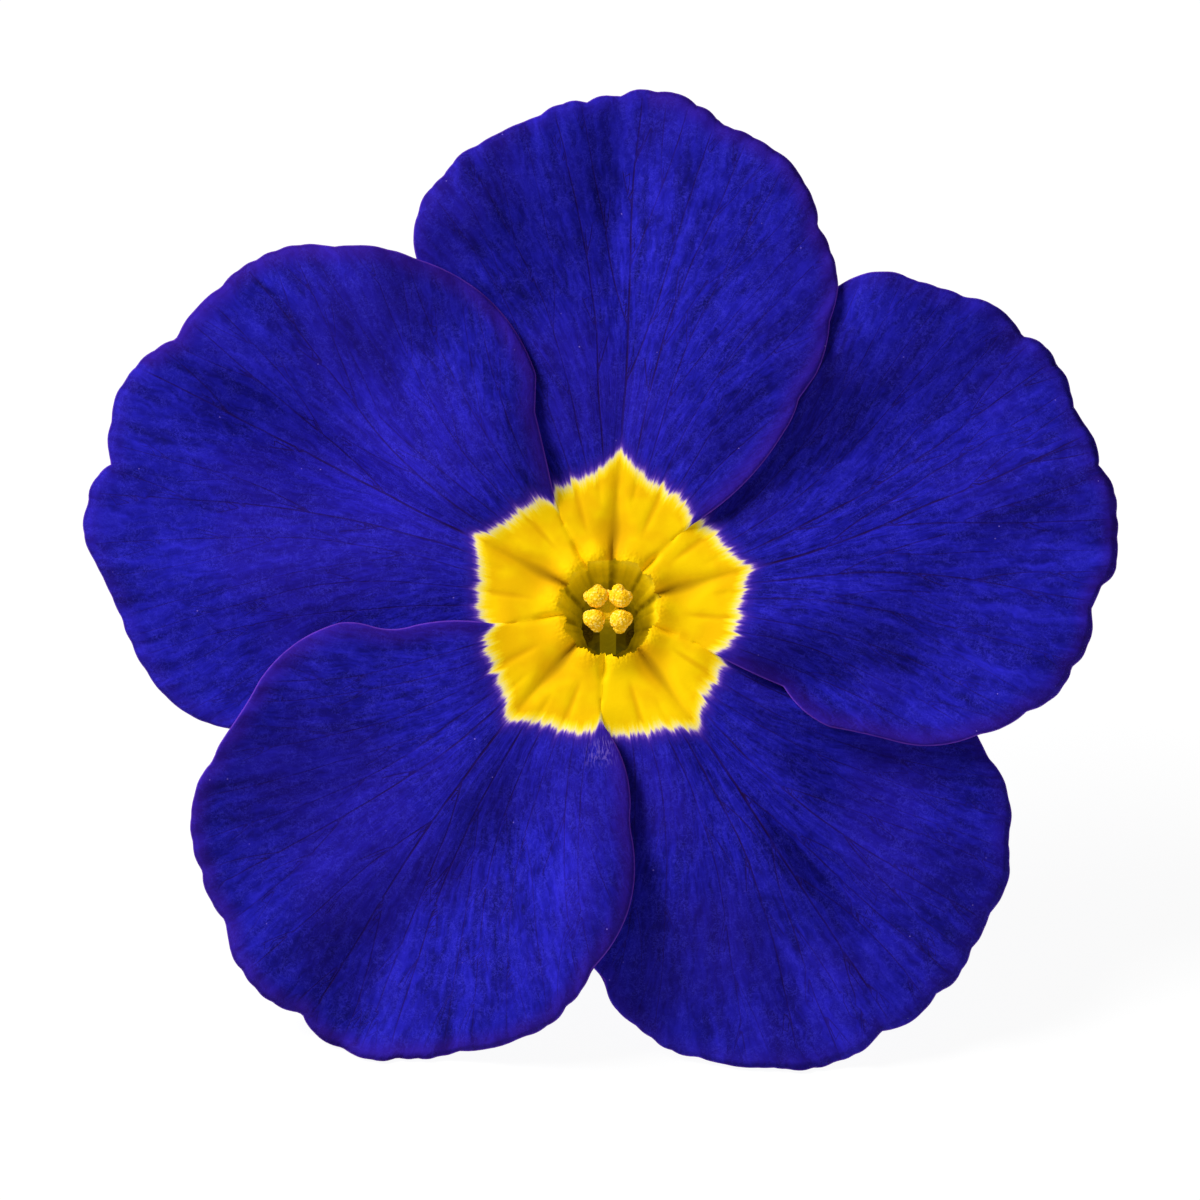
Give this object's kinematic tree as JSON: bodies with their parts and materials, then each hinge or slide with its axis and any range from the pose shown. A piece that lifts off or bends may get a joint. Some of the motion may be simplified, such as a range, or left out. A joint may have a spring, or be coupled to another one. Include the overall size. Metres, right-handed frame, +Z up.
{
  "type": "polyanthus flower",
  "caption": "Picked polyanthus blossom lying on its petals and cut stalk: overlapping violet-blue petals round a yellow star eye, with its throat, tube and green calyx.",
  "frame": {"origin": "on the surface that the flower rests on, under the middle of its box", "axes": "+Z up from the surface, +X across the flower to the right as its face is seen, +Y the way its stalk lies"},
  "size_m": [0.045, 0.0344, 0.0364],
  "materials": {
    "petal_blue": "satin",
    "eye_yellow": "matte",
    "stigma_yellow": "matte",
    "style_green": "satin",
    "anther_ochre": "matte",
    "calyx_green": "matte",
    "pedicel_green": "matte"
  },
  "bodies": {
    "root": {"petal_top": "petal_blue", "petal_right": "petal_blue", "petal_lower_right": "petal_blue", "petal_lower_left": "petal_blue", "petal_left": "petal_blue", "corolla_tube": "eye_yellow", "stigma": "stigma_yellow", "pistil": "style_green", "stamen_1": "anther_ochre", "stamen_2": "anther_ochre", "stamen_3": "anther_ochre", "stamen_4": "anther_ochre", "stamen_5": "anther_ochre", "calyx": "calyx_green", "pedicel": "pedicel_green"}
  },
  "joints": []
}
